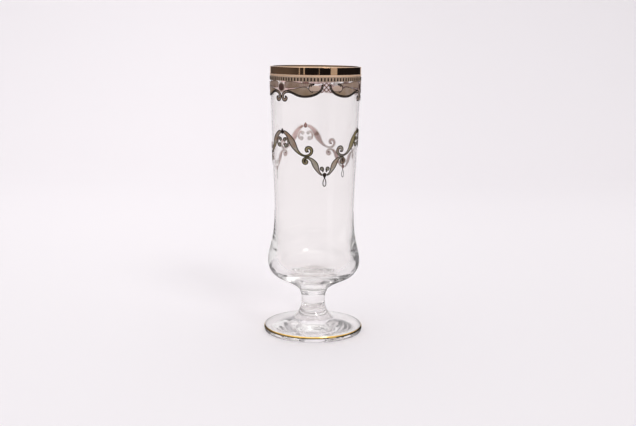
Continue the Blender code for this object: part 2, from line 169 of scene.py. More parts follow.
# how far along each run the handles of its curve lie, as shares; pairs are across and down
ease = {
    "rim": 0.68,
    "waist": 0.16,
    "waistBelow": 0.6,
    "bulge": 0.25,
    "underside": 0.7,
    "collar": 0.25,
    "inside": 0.4,
    "cavity": 0.80,
    "stemHigh": 0.2,
    "stemLow": 0.4,
    "flareHigh": (0.15, 0.4),
    "flareLow": (0.45, 0.3),
    "hollowEdge": 0.8,
    "hollowMiddle": 0.4,
}
bulgeRadius = bowlHigh[0]
footRadius = footHigh[0]
rimTop = bowlHigh[2]
weldHigh = (stemHigh[2] + bowlLow[2]) / 2
weldLow = (footHigh[2] + stemLow[2]) / 2
waistZ = bowlLow[2] + glass["waistAt"]
bulgeZ = bowlLow[2] + glass["bulgeAt"]
floorZ = bowlLow[2] + glass["floorThickness"]
lipZ = rimTop - glass["rimWall"] / 2
wallStart = waistZ + ease["waist"] * (lipZ - waistZ)
wallEnd = waistZ + ease["rim"] * (lipZ - waistZ)


def bowlProfile():
    g = glass
    waist, rim, collar = g["waistRadius"], g["rimRadius"], g["collarRadius"]
    innerWaist, innerRim = waist - g["waistWall"], rim - g["rimWall"]
    innerBulge = bulgeRadius - g["bulgeWall"]
    slope, arc = g["undersideSlope"], g["bulgeArc"]
    under = (bulgeRadius - arc + arc * math.sin(slope), bulgeZ - arc * math.cos(slope))
    pull = 4 / 3 * math.tan((math.pi / 2 - slope) / 4) * arc
    reach = ease["underside"] * (under[0] - collar)
    climb = waistZ - bulgeZ
    cavityZ = floorZ + g["cavityCorner"]
    drop = ease["inside"] * (waistZ - cavityZ)
    middle, roundness = rim - g["rimWall"] / 2, quarterPull * g["rimWall"] / 2
    return straightened([
        corner(0, weldHigh),
        ((collar, weldHigh), (collar, weldHigh), (collar, weldHigh + ease["collar"] * (under[1] - weldHigh))),
        (under, (under[0] - reach, under[1] - reach * math.tan(slope)),
         (under[0] + pull * math.cos(slope), under[1] + pull * math.sin(slope))),
        ((bulgeRadius, bulgeZ), (bulgeRadius, bulgeZ - pull), (bulgeRadius, bulgeZ + ease["bulge"] * climb)),
        ((waist, waistZ), (waist, waistZ - ease["waistBelow"] * climb), (waist, wallStart)),
        ((rim, lipZ), (rim, wallEnd), (rim, lipZ + roundness)),
        ((middle, rimTop), (middle + roundness, rimTop), (middle - roundness, rimTop)),
        ((innerRim, lipZ), (innerRim, lipZ + roundness), (innerRim, wallEnd)),
        ((innerWaist, waistZ), (innerWaist, wallStart), (innerWaist, waistZ - drop)),
        ((innerBulge, cavityZ), (innerBulge, cavityZ + drop),
         (innerBulge, cavityZ - ease["cavity"] * g["cavityCorner"])),
        ((0, floorZ), (ease["cavity"] * innerBulge, floorZ), (0, floorZ)),
    ])


def stemProfile():
    collar, neck, foot = glass["collarRadius"], glass["stemRadius"], glass["stemFootRadius"]
    length = weldHigh - weldLow
    return straightened([
        corner(0, weldHigh),
        ((collar, weldHigh), (collar, weldHigh), (neck, weldHigh - ease["stemHigh"] * length)),
        ((foot, weldLow), (neck, weldLow + ease["stemLow"] * length), (foot, weldLow)),
        corner(0, weldLow),
    ])


def footTop(radius):
    g = glass
    flat = footRadius - g["footRound"]
    share = (flat - radius) / (flat - g["hubRadius"])
    steep = g["footSlope"] * share + (1 - g["footSlope"]) * share * share
    return g["footEdge"] + (g["hubHeight"] - g["footEdge"]) * steep


def footProfile():
    g = glass
    hub, top, hubZ, edgeZ = g["hubRadius"], g["stemFootRadius"], g["hubHeight"], g["footEdge"]
    flat = footRadius - g["footRound"]
    hollow, depth = flat - g["footRest"], g["hollowDepth"]
    fall, flare = weldLow - hubZ, hub - top
    (outHigh, downHigh), (outLow, downLow) = ease["flareHigh"], ease["flareLow"]
    third = (flat - hub) / 3
    pull, half = quarterPull * g["footRound"], edgeZ / 2
    halfPull = quarterPull * half
    return straightened([
        corner(0, weldLow),
        ((top, weldLow), (top, weldLow), (top + outHigh * flare, weldLow - downHigh * fall)),
        ((hub, hubZ), (hub - outLow * flare, hubZ + downLow * fall), (hub + third, footTop(hub + third))),
        ((flat, edgeZ), (flat - third, footTop(flat - third)), (flat + pull, edgeZ)),
        ((footRadius, half), (footRadius, half + halfPull), (footRadius, half - halfPull)),
        ((flat, 0), (flat + pull, 0), (flat, 0)),
        ((hollow, 0), (hollow, 0), (ease["hollowEdge"] * hollow, depth)),
        ((0, depth), (ease["hollowMiddle"] * hollow, depth), (0, depth)),
    ])


glassLook = {
    "colour": (0.992, 0.985, 0.975),
    "ior": 1.5,
    "rippleScale": (60, 60, 18),
    "rippleStrength": 0.012,
    "rippleDepth": 0.001,
    "shadowColour": (0.80, 0.79, 0.79),
}


def clearGlass():
    material, nodes, links, shader = newMaterial("clearGlass")
    shader.inputs["Base Color"].default_value = (*glassLook["colour"], 1)
    shader.inputs["Roughness"].default_value = 0
    shader.inputs["IOR"].default_value = glassLook["ior"]
    shader.inputs["Transmission Weight"].default_value = 1
    # slow ripples of a blown wall
    place = nodes.new("ShaderNodeTexCoord")
    stretch = nodes.new("ShaderNodeMapping")
    stretch.inputs["Scale"].default_value = glassLook["rippleScale"]
    ripple = nodes.new("ShaderNodeTexNoise")
    ripple.inputs["Scale"].default_value = 1
    ripple.inputs["Detail"].default_value = 1
    bump = nodes.new("ShaderNodeBump")
    bump.inputs["Strength"].default_value = glassLook["rippleStrength"]
    bump.inputs["Distance"].default_value = glassLook["rippleDepth"]
    links.new(place.outputs["Object"], stretch.inputs["Vector"])
    links.new(stretch.outputs["Vector"], ripple.inputs["Vector"])
    links.new(ripple.outputs["Fac"], bump.inputs["Height"])
    links.new(bump.outputs["Normal"], shader.inputs["Normal"])
    # lamps shine through
    through = nodes.new("ShaderNodeBsdfTransparent")
    through.inputs["Color"].default_value = (*glassLook["shadowColour"], 1)
    path = nodes.new("ShaderNodeLightPath")
    mix = nodes.new("ShaderNodeMixShader")
    links.new(path.outputs["Is Shadow Ray"], mix.inputs["Fac"])
    links.new(shader.outputs["BSDF"], mix.inputs[1])
    links.new(through.outputs["BSDF"], mix.inputs[2])
    links.new(mix.outputs["Shader"], nodes["Material Output"].inputs["Surface"])
    return material


def weldSeam():
    # no surface is seen where two pieces of glass are welded
    material, nodes, links, shader = newMaterial("weldSeam")
    nodes.remove(shader)
    through = nodes.new("ShaderNodeBsdfTransparent")
    links.new(through.outputs["BSDF"], nodes["Material Output"].inputs["Surface"])
    return material


glassMaterials = [clearGlass(), weldSeam()]
for node, profile, welds in (
    ("bowl", bowlProfile(), (weldHigh,)),
    ("stem", stemProfile(), (weldHigh, weldLow)),
    ("foot", footProfile(), (weldLow,)),
):
    piece = spinProfile(profile)
    finishPiece(piece, node + "Glass", glassMaterials, [node], glass["smoothAngle"])
    for face in piece.data.polygons:
        if any(abs(face.center.z - weld) < glass["weldReach"] for weld in welds):
            face.material_index = 1
print("glass spun")


# gilding: the wall of the bowl that it lies on, then its materials
gilding = {
    "lift": 0.00006,
    "film": 0.00012,
    "crown": 0.25,
    "wallSteps": 160,
}
wallKnots = [Vector((radius, height, 0)) for radius, height in (
    (glass["waistRadius"], waistZ),
    (glass["waistRadius"], wallStart),
    (glass["rimRadius"], wallEnd),
    (glass["rimRadius"], lipZ))]
wallLine = interpolate_bezier(*wallKnots, gilding["wallSteps"])


def wallRadius(height):
    for low, high in zip(wallLine, wallLine[1:]):
        if height <= high.y:
            return low.x + (high.x - low.x) * max(0, height - low.y) / (high.y - low.y)
    return glass["rimRadius"]


def onWall(angle, height, lift):
    radius = wallRadius(height) + lift
    return Vector((radius * math.sin(angle), -radius * math.cos(angle), height))


def patches(nodes, links, scale, detail):
    place = nodes.new("ShaderNodeTexCoord")
    noise = nodes.new("ShaderNodeTexNoise")
    noise.inputs["Scale"].default_value = scale
    noise.inputs["Detail"].default_value = detail
    links.new(place.outputs["Object"], noise.inputs["Vector"])
    return noise.outputs["Fac"]


def ownValue(nodes, name):
    value = nodes.new("ShaderNodeAttribute")
    value.attribute_name = name
    return value


def toned(nodes, links, value, stops):
    ramp = nodes.new("ShaderNodeValToRGB")
    while len(ramp.color_ramp.elements) < len(stops):
        ramp.color_ramp.elements.new(0.5)
    for element, (position, colour) in zip(ramp.color_ramp.elements, stops):
        element.position = position
        element.color = (*colour, 1)
    links.new(value, ramp.inputs["Fac"])
    return ramp.outputs["Color"]


def mixed(nodes, links, factor, first, second):
    mix = nodes.new("ShaderNodeMix")
    mix.data_type = 'RGBA'
    links.new(factor, mix.inputs["Factor"])
    for socket, value in ((mix.inputs[6], first), (mix.inputs[7], second)):
        if isinstance(value, tuple):
            socket.default_value = (*value, 1)
        else:
            links.new(value, socket)
    return mix.outputs[2]


def mapped(nodes, links, value, reach, result=(0, 1), kind='LINEAR'):
    spread = nodes.new("ShaderNodeMapRange")
    spread.interpolation_type = kind
    spread.inputs["From Min"].default_value, spread.inputs["From Max"].default_value = reach
    spread.inputs["To Min"].default_value, spread.inputs["To Max"].default_value = result
    links.new(value, spread.inputs["Value"])
    return spread.outputs["Result"]


patchy = {
    "scale": 90,
    "detail": 4,
    "reach": (0.3, 0.7),
    "darker": 0.86,
    "polish": (0.7, 1.3),
}


def patchyTone(name, colour, roughness, metal):
    # one colour in soft patches, a little darker and smoother in some than in others
    material, nodes, links, shader = newMaterial(name)
    shader.inputs["Metallic"].default_value = metal
    patch = patches(nodes, links, patchy["scale"], patchy["detail"])
    darker = tuple(patchy["darker"] * c for c in colour)
    fill = toned(nodes, links, patch, tuple(zip(patchy["reach"], (darker, colour))))
    links.new(fill, shader.inputs["Base Color"])
    polish = tuple(share * roughness for share in patchy["polish"])
    links.new(mapped(nodes, links, patch, (0, 1), polish), shader.inputs["Roughness"])
    return material


foliate = {
    "metal": 0.35,
    "patchScale": 60,
    "patchDetail": 2,
    "patchStops": (0.36, 0.46, 0.54, 0.64),
    "hatchScale": 0.24,
    "hatchWobble": 0.6,
    "cut": ((0.05, (0.30, 0.27, 0.23)), (0.45, (1, 1, 1))),
    "cutShare": 0.65,
    "cutBump": 0.3,
    "cutDepth": 0.0001,
    "roughness": (0.28, 0.5),
    "outlineReach": (0.70, 1.05),
}


def outlineMask(nodes, links):
    # 0 on the outline, 1 on the fill, from the distance to the edge in outline widths
    edge = ownValue(nodes, "edgeDistance")
    return mapped(nodes, links, edge.outputs["Fac"], foliate["outlineReach"], kind='SMOOTHSTEP')


def foliateGold(name, tones, outline):
    material, nodes, links, shader = newMaterial(name)
    shader.inputs["Metallic"].default_value = foliate["metal"]
    patch = patches(nodes, links, foliate["patchScale"], foliate["patchDetail"])
    fill = toned(nodes, links, patch, tuple(zip(foliate["patchStops"], tones)))
    # fine engraved lines across the leaf
    along = ownValue(nodes, "alongLine")
    hatch = nodes.new("ShaderNodeTexWave")
    hatch.bands_direction = 'X'
    hatch.inputs["Scale"].default_value = foliate["hatchScale"]
    hatch.inputs["Distortion"].default_value = foliate["hatchWobble"]
    links.new(along.outputs["Vector"], hatch.inputs["Vector"])
    cut = toned(nodes, links, hatch.outputs["Fac"], foliate["cut"])
    engraved = nodes.new("ShaderNodeMix")
    engraved.data_type = 'RGBA'
    engraved.blend_type = 'MULTIPLY'
    engraved.inputs["Factor"].default_value = foliate["cutShare"]
    links.new(fill, engraved.inputs[6])
    links.new(cut, engraved.inputs[7])
    colour = mixed(nodes, links, outlineMask(nodes, links), outline, engraved.outputs[2])
    links.new(colour, shader.inputs["Base Color"])
    links.new(mapped(nodes, links, patch, (0, 1), foliate["roughness"]), shader.inputs["Roughness"])
    bump = nodes.new("ShaderNodeBump")
    bump.inputs["Strength"].default_value = foliate["cutBump"]
    bump.inputs["Distance"].default_value = foliate["cutDepth"]
    links.new(hatch.outputs["Fac"], bump.inputs["Height"])
    links.new(bump.outputs["Normal"], shader.inputs["Normal"])
    return material


throughGlass = {
    "scale": 160,
    "detail": 2,
    "roughness": 0.5,
    "fill": ((0.38, (0.84, 0.62, 0.61)), (0.55, (0.68, 0.47, 0.46)), (0.66, (0.34, 0.16, 0.12))),
    "outline": (0.93, 0.86, 0.85),
}


def glassSide():
    # the face of the gilding that is seen through the glass
    material, nodes, links, shader = newMaterial("glassSide")
    shader.inputs["Roughness"].default_value = throughGlass["roughness"]
    patch = patches(nodes, links, throughGlass["scale"], throughGlass["detail"])
    fill = toned(nodes, links, patch, throughGlass["fill"])
    colour = mixed(nodes, links, outlineMask(nodes, links), throughGlass["outline"], fill)
    links.new(colour, shader.inputs["Base Color"])
    return material


patchyTones = {  # colour, roughness, metal
    "bandGold": ((0.86, 0.55, 0.34), 0.06, 1),
    "insideGold": ((0.72, 0.50, 0.32), 0.45, 0.4),
    "lineGold": ((0.86, 0.60, 0.42), 0.35, 0.3),
    "footGold": ((0.86, 0.55, 0.16), 0.08, 1),
    "darkGold": ((0.040, 0.027, 0.020), 0.35, 0.4),
    "satinGold": ((0.46, 0.42, 0.33), 0.4, 0.3),
    "rosyGold": ((0.60, 0.44, 0.35), 0.4, 0.2),
    "collarGold": ((0.46, 0.34, 0.28), 0.4, 0.3),
    "tickGround": ((0.50, 0.36, 0.26), 0.45, 0.3),
    "bossBrown": ((0.11, 0.05, 0.04), 0.4, 0.3),
    "bossBack": ((0.30, 0.12, 0.09), 0.6, 0),
    "lineBack": ((0.80, 0.74, 0.72), 0.5, 0),
}
foliateTones = {  # four tones of the fill, and the outline
    "borderGold": (((0.38, 0.26, 0.165), (0.46, 0.33, 0.235), (0.54, 0.42, 0.34), (0.42, 0.28, 0.20)),
                   (0.012, 0.009, 0.007)),
    "garlandGold": (((0.40, 0.33, 0.16), (0.47, 0.39, 0.22), (0.58, 0.53, 0.46), (0.50, 0.33, 0.23)),
                    (0.030, 0.023, 0.013)),
    "wingGold": (((0.33, 0.215, 0.145), (0.41, 0.28, 0.205), (0.54, 0.40, 0.33), (0.47, 0.335, 0.25)),
                 (0.14, 0.085, 0.06)),
}
tone = {name: patchyTone(name, *look) for name, look in patchyTones.items()}
tone.update({name: foliateGold(name, *look) for name, look in foliateTones.items()})
tone["glassSide"] = glassSide()


# bands
def bandProfile(low, high):
    # a low pad on the wall, with round edges
    film, crown = gilding["film"], gilding["crown"] * (high - low)
    lowIn, highIn = wallRadius(low) + gilding["lift"], wallRadius(high) + gilding["lift"]
    lowOut, highOut = lowIn + film, highIn + film
    return straightened([
        corner(lowIn, low),
        ((lowOut, low + film), (lowOut, low), (lowOut, low + crown)),
        ((highOut, high - film), (highOut, high - crown), (highOut, high)),
        corner(highIn, high),
    ])


rimLook = {
    "inside": 0.0030,
    # height of the dark line inside the lip, a painted reflection of the dark room
    "shade": 0.0008,
    "corner": 0.00025,
    "lineGap": 0.00005,
    "insideFacing": -0.7,
}
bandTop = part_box("rim_gilding")[1][2]
lineLow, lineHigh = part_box("gold_line")
tickLow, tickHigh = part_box("tick_band")


def rimProfile():
    film, k = gilding["film"], quarterPull
    lip = glass["rimRadius"] - glass["rimWall"] / 2
    near = glass["rimWall"] / 2 + gilding["lift"]
    far = near + film
    low, inside, top = lineHigh[2] + rimLook["lineGap"], lipZ - rimLook["inside"], bandTop
    turn = rimLook["corner"]
    pull = (1 - k) * turn
    foot = wallRadius(low) + gilding["lift"]
    return straightened([
        corner(foot, low),
        ((foot + film, low + film), (foot + film, low), (foot + film, low + 2 * film)),
        ((lip + far, top - turn), (lip + far, lipZ - far), (lip + far, top - pull)),
        ((lip + far - turn, top), (lip + far - pull, top), (lip + far - turn, top)),
        ((lip - far + turn, top), (lip - far + turn, top), (lip - far + pull, top)),
        ((lip - far, top - turn), (lip - far, top - pull), (lip - far, top - turn)),
        corner(lip - far, top - rimLook["shade"]),
        corner(lip - far, inside),
        corner(lip - near, inside),
        ((lip - near, lipZ), (lip - near, lipZ - near), (lip - near, lipZ + k * near)),
        ((lip, lipZ + near), (lip - k * near, lipZ + near), (lip + k * near, lipZ + near)),
        ((lip + near, lipZ), (lip + near, lipZ + k * near), (lip + near, lipZ - near)),
    ])


rimBand = spinProfile(rimProfile(), True)
finishPiece(rimBand, "rimBand", [tone["bandGold"], tone["darkGold"], tone["insideGold"]],
            ["rim_gilding"])
for face in rimBand.data.polygons:
    # inside the lip: a dark line under the edge, a painted reflection of the dark room, then a pale strip of
    # dull gold
    if face.normal.dot(Vector((face.center.x, face.center.y, 0)).normalized()) < rimLook["insideFacing"]:
        face.material_index = 1 if face.center.z > bandTop - rimLook["shade"] else 2
linePiece = spinProfile(bandProfile(lineLow[2], lineHigh[2]), True)
finishPiece(linePiece, "goldLine", [tone["lineGold"]], ["gold_line"])

ticks = {
    "count": 87,
    "width": 0.0011,
    "height": 0.0024,
    "bevel": 0.00008,
    "smoothAngle": 30,
}


def tickMarks():
    # one dark bar, spun into a ring of copies
    middle = (tickLow[2] + tickHigh[2]) / 2
    face = wallRadius(middle) + gilding["lift"] + gilding["film"]
    clearSelection()
    bpy.ops.mesh.primitive_cube_add(size=1, location=(face, 0, middle))
    bar = bpy.context.object
    bar.scale = (2 * gilding["film"], ticks["width"], ticks["height"])
    bpy.ops.object.transform_apply(location=True, rotation=False, scale=True)
    bpy.ops.object.mode_set(mode='EDIT')
    bpy.ops.mesh.select_all(action='SELECT')
    bpy.ops.mesh.bevel(offset=ticks["bevel"], segments=2, affect='EDGES')
    bpy.ops.mesh.select_all(action='SELECT')
    bpy.ops.mesh.spin(steps=ticks["count"], dupli=True, angle=2 * math.pi,
                      center=(0, 0, 0), axis=(0, 0, 1))
    bpy.ops.mesh.select_all(action='SELECT')
    bpy.ops.mesh.remove_doubles(threshold=spun["mergeDrawn"])
    bpy.ops.object.mode_set(mode='OBJECT')
    bar.data.materials.append(tone["darkGold"])
    return bar


ground = spinProfile(bandProfile(tickLow[2], tickHigh[2]), True)
ground.data.materials.append(tone["tickGround"])
finishPiece(joined([ground, tickMarks()]), "tickFrieze", [], ["tick_band"], ticks["smoothAngle"])

footLineLook = {
    "from": math.radians(18),
    "to": math.radians(72),
    "film": 0.00008,
    "steps": 8,
    "outsideFacing": 0.5,
}
# the foot's round edge, as an ellipse: middle and half axes
edgeMiddle = (footRadius - glass["footRound"], glass["footEdge"] / 2)
edgeAxes = (glass["footRound"], glass["footEdge"] / 2)


def footLineProfile():
    # a low pad on the upper part of that edge
    low, high, steps = footLineLook["from"], footLineLook["to"], footLineLook["steps"]

    def place(share, lift):
        angle = low + (high - low) * share
        return corner(edgeMiddle[0] + (edgeAxes[0] + lift) * math.cos(angle),
                      edgeMiddle[1] + (edgeAxes[1] + lift) * math.sin(angle))

    outside = [place(i / steps, gilding["lift"] + footLineLook["film"]) for i in range(steps + 1)]
    inside = [place(1 - i / steps, gilding["lift"]) for i in range(steps + 1)]
    return straightened(outside + inside)


footLine = spinProfile(footLineProfile(), True)
finishPiece(footLine, "footLine", [tone["footGold"], tone["lineBack"]], ["foot_line"])
for face in footLine.data.polygons:
    radius = math.hypot(face.center.x, face.center.y)
    outward = face.center * ((radius - edgeMiddle[0]) / edgeAxes[0] ** 2 / radius)
    outward.z = (face.center.z - edgeMiddle[1]) / edgeAxes[1] ** 2
    face.material_index = 0 if face.normal.dot(outward.normalized()) > footLineLook["outsideFacing"] else 1
print("bands laid")

# scrolls
# start, end: share of half a repeat from the pendant, and metres below the top line
# turn, grip, bow: how far each end winds, in radians, over which share of the line, and the bend between
# stem, leaf, ends: width of the line, and what its leaf and its two ends add to it
# leafAt, spread: middle and half length of the leaf, as shares; outline: its width in millimetres
# sag: depth, middle and half length of a stretch that hangs
# stretch, lean: the part of the line that the leaf follows, and the side on which it lies
scrolls = {
    "borderLine": {
        "start": (0.885, 0.0104), "end": (0.086, 0.0012), "turn": (6.6, -3.1), "grip": (0.143, 0.30),
        "bow": 0.6, "stem": 0.0016, "leaf": 0, "leafAt": 0.53, "spread": 0.15, "ends": (0.0010, 0),
        "outline": 0.8, "steps": 120, "sag": (0.0017, 0.53, 0.18)},
    "borderWing": {
        "start": (0.905, 0.0021), "end": (0.300, 0.0011), "turn": (0.25, -0.35), "grip": (0.3, 0.3),
        "bow": 0, "stem": 0.0016, "leaf": 0.0032, "leafAt": 0.20, "spread": 0.45, "ends": (0, 0),
        "outline": 0.35, "steps": 60},
    "borderVolute": {
        "start": (0.268, 0.0064), "end": (0.245, 0.0015), "turn": (0.8, 1.0), "grip": (0.3, 0.3),
        "bow": 2.0, "stem": 0.0012, "leaf": 0.0008, "leafAt": 0.5, "spread": 0.3, "ends": (0, 0),
        "outline": 0.8, "steps": 48},
    "garlandLeaf": {
        "start": (0.962, 0.0027), "end": (0.371, 0.0160), "turn": (2.17, -7.0), "grip": (0.236, 0.207),
        "bow": -1.53, "stem": 0.0014, "leaf": 0.0032, "leafAt": 0.30, "spread": 0.17,
        "ends": (0.0012, 0.0012), "outline": 0.8, "steps": 120},
    "garlandCurl": {
        "start": (0.935, 0.0082), "end": (0.905, 0.0124), "turn": (3.0, 3.0), "grip": (0.2, 0.2),
        "bow": 0, "stem": 0.0013, "leaf": 0.0004, "leafAt": 0.5, "spread": 0.2, "ends": (0.0004, 0.0004),
        "outline": 0.5, "steps": 60},
    "garlandSwag": {
        "start": (0.436, 0.0228), "end": (0.048, 0.0331), "turn": (8.05, -2.04), "grip": (0.217, 0.252),
        "bow": 1.39, "stem": 0.0013, "leaf": 0.0029, "leafAt": 0.66, "spread": 0.18, "ends": (0.0009, 0),
        "outline": 0.75, "steps": 120},
    "garlandBud": {
        "start": (0.066, 0.0283), "end": (0.044, 0.0308), "turn": (6.0, -0.6), "grip": (0.3, 0.3),
        "bow": 0, "stem": 0.0010, "leaf": 0.0002, "leafAt": 0.5, "spread": 0.2, "ends": (0, 0),
        "outline": 0.5, "steps": 48},
}
# the leaf that fills the space above the border line, over a stretch of that line
bodyLeaf = dict(scrolls["borderLine"], stretch=(0.30, 0.90), lean=-1, stem=0.0006, leaf=0.0064, leafAt=0.48,
                spread=0.30, ends=(0, 0), outline=0.35, steps=80)
repeats = {
    "count": 3,
    "firstPendant": math.radians(13.5),
    "borderGap": 0.0006,
    "garlandDrop": 0.0330,
    "tip": 0.03,
    "tipWidth": 0.05,
    "endReach": 0.4,
    "lineSteps": 600,
    "acrossSteps": 12,
    "smoothAngle": 50,
}
halfRepeat = math.pi / repeats["count"]
borderTop = tickLow[2] - repeats["borderGap"]
garlandTop = borderTop - repeats["garlandDrop"]


def scrollLine(shape, top):
    # centre line as (arc, height), with the radius that turns arcs into angles
    reference = wallRadius(top - (shape["start"][1] + shape["end"][1]) / 2)
    count = repeats["lineSteps"]
    (turnA, turnB), (gripA, gripB) = shape["turn"], shape["grip"]
    heading = 0
    raw = [Vector((0, 0))]
    for i in range(count):
        t = (i + 0.5) / count
        bend = turnA / gripA * math.exp(-t / gripA) + turnB / gripB * math.exp((t - 1) / gripB) + shape["bow"]
        heading += bend / count
        raw.append(raw[-1] + Vector((math.cos(heading), math.sin(heading))) / count)
    start, end = (Vector((share * halfRepeat * reference, top - drop))
                  for share, drop in (shape["start"], shape["end"]))
    wanted, span = end - start, raw[-1]
    scale = wanted.length / span.length
    angle = math.atan2(wanted.y, wanted.x) - math.atan2(span.y, span.x)
    spin = Matrix.Rotation(angle, 2) * scale
    return [start + spin @ p for p in raw], reference, scale


def scrollWidth(shape, t):
    tip = min(1, min(t, 1 - t) / repeats["tip"])
    roundTip = math.sqrt(max(0, 1 - (1 - tip) ** 2))
    swell = math.exp(-((t - shape["leafAt"]) / shape["spread"]) ** 2)
    first, last = shape["ends"]
    reach = repeats["endReach"]
    ends = first * max(0, 1 - (t / reach) ** 2) + last * max(0, 1 - ((1 - t) / reach) ** 2)
    return (shape["stem"] + shape["leaf"] * swell + ends) * max(roundTip, repeats["tipWidth"])


def plate(columns, rows):
    # a flat grid with the two values that its material reads
    clearSelection()
    bpy.ops.mesh.primitive_grid_add(x_subdivisions=columns, y_subdivisions=rows, size=2)
    piece = bpy.context.object
    edge = piece.data.attributes.new("edgeDistance", 'FLOAT', 'POINT')
    along = piece.data.attributes.new("alongLine", 'FLOAT_VECTOR', 'POINT')
    return piece, edge, along


def backed(piece, face):
    # turned outwards, then made as thick as the film, with another face towards the glass
    facet = piece.data.polygons[0]
    if facet.normal.dot(Vector((facet.center.x, facet.center.y, 0))) < 0:
        bpy.ops.object.mode_set(mode='EDIT')
        bpy.ops.mesh.select_all(action='SELECT')
        bpy.ops.mesh.flip_normals()
        bpy.ops.object.mode_set(mode='OBJECT')
    piece.data.materials.append(face)
    piece.data.materials.append(tone["glassSide"])
    body = piece.modifiers.new("body", 'SOLIDIFY')
    body.thickness = gilding["film"]
    body.offset = -1
    body.material_offset = 1
    bpy.ops.object.modifier_apply(modifier="body")
    return piece


def ribbon(shape, top, axis, side, face):
    line, reference, length = scrollLine(shape, top)
    segments = len(line) - 1
    first, last = shape.get("stretch", (0, 1))
    lean = shape.get("lean", 0)
    sagDepth, sagAt, sagSpread = shape.get("sag", (0, 0, 1))
    piece, edge, along = plate(shape["steps"], repeats["acrossSteps"])
    for i, vert in enumerate(piece.data.vertices):
        t, across = (vert.co.x + 1) / 2, vert.co.y
        at = (first + t * (last - first)) * segments
        k = min(int(at), segments - 1)
        middle = line[k].lerp(line[k + 1], at - k)
        heading = (line[k + 1] - line[k]).normalized()
        width = scrollWidth(shape, t)
        sag = sagDepth * math.exp(-((at / segments - sagAt) / sagSpread) ** 2)
        place = middle + Vector((-heading.y, heading.x)) * ((across + lean) * width / 2 + sag)
        inward = perMetre * min((1 - abs(across)) * width / 2, t * length, (1 - t) * length)
        ridge = max(0, 1 - inward / shape["outline"])
        lift = gilding["lift"] + gilding["film"] * (1 + ridge)
        vert.co = onWall(axis + side * place.x / reference, place.y, lift)
        edge.data[i].value = inward / shape["outline"]
        along.data[i].vector = (perMetre * (t * length + 0.5 * abs(across) * width), across, t)
    return backed(piece, face)


def bead(angle, height, width, tall, rise, face, back="bossBack"):
    clearSelection()
    place = onWall(angle, height, gilding["lift"])
    bpy.ops.mesh.primitive_uv_sphere_add(segments=24, ring_count=12, radius=1, location=place,
                                         rotation=(0, 0, angle))
    piece = bpy.context.object
    piece.scale = (width / 2, rise, tall / 2)
    bpy.ops.object.transform_apply(location=True, rotation=True, scale=True)
    piece.data.materials.append(tone[face])
    piece.data.materials.append(tone[back])
    outward = Vector((math.sin(angle), -math.cos(angle), 0))
    for facet in piece.data.polygons:
        facet.material_index = 1 if facet.normal.dot(outward) < 0 else 0
    return piece


def loop(angle, height, width, tall, bar, face, taper=0):
    # a ring that stands flat on the wall, narrower towards its top by the taper
    thin = 0.2
    clearSelection()
    bpy.ops.mesh.primitive_torus_add(major_segments=48, minor_segments=10, major_radius=1, minor_radius=thin)
    piece = bpy.context.object
    for vert in piece.data.vertices:
        ring = Vector((vert.co.x, vert.co.y)).normalized()
        off = Vector((vert.co.x, vert.co.y)) - ring
        x = ring.x * (width - bar) / 2 * (1 - taper * ring.y) + off.x * bar / 2 / thin
        z = ring.y * (tall - bar) / 2 + off.y * bar / 2 / thin
        rise = gilding["lift"] + gilding["film"] * (1 + vert.co.z / thin)
        vert.co = onWall(angle + x / wallRadius(height), height + z, rise)
    piece.data.materials.append(tone[face])
    return piece


eyes = {
    "borderScroll": 0.0016,
    "garlandLeaf": 0.0014,
    "garlandSwag": 0.0013,
    "curlStart": 0.0030,
    "curlEnd": 0.0034,
    "bud": 0.0031,
    "rise": 0.00035,
    "ringedRise": 0.0002,
    "ringBar": 0.0007,
}


def endOf(shape, top, axis, side, atStart):
    line, reference = scrollLine(shape, top)[:2]
    point = line[0] if atStart else line[-1]
    return axis + side * point.x / reference, point.y


def eyeOf(shape, top, axis, side, atStart, size):
    # the bead that a scroll's end winds round
    return bead(*endOf(shape, top, axis, side, atStart), size, size, eyes["rise"], "darkGold")


def ringed(shape, top, axis, side, atStart, size):
    # a round eye with a dark ring
    place = endOf(shape, top, axis, side, atStart)
    return [bead(*place, size, size, eyes["ringedRise"], "satinGold", "glassSide"),
            loop(*place, size, size, eyes["ringBar"], "darkGold")]


lattice = {
    "top": 0.0056,
    "foot": 0.0104,
    "height": 0.0078,
    "arch": 0.0012,
    "columns": 24,
    "rows": 16,
    "barScale": 0.13,
    "barAngles": (math.radians(38), math.radians(-38)),
    "tones": ((0.02, (0.16, 0.075, 0.045)), (0.12, (0.52, 0.40, 0.38)), (0.45, (0.78, 0.68, 0.68))),
    "metal": 0.2,
    "roughness": 0.4,
}


def latticePanel(axis):
    # a plate that widens downwards, with an arched foot; its pattern follows the alongLine values
    tall = lattice["height"]
    piece, edge, along = plate(lattice["columns"], lattice["rows"])
    for i, vert in enumerate(piece.data.vertices):
        across, down = vert.co.x, (1 - vert.co.y) / 2
        width = lattice["top"] + (lattice["foot"] - lattice["top"]) * down
        height = borderTop - down * (tall - lattice["arch"] * (1 - across ** 2))
        arc = across * width / 2
        vert.co = onWall(axis + arc / wallRadius(height), height, gilding["lift"] + gilding["film"])
        edge.data[i].value = perMetre * min((1 - abs(across)) * width / 2, down * tall, (1 - down) * tall)
        along.data[i].vector = (perMetre * arc, perMetre * down * tall, 0)
    return backed(piece, tone["diaperGold"])


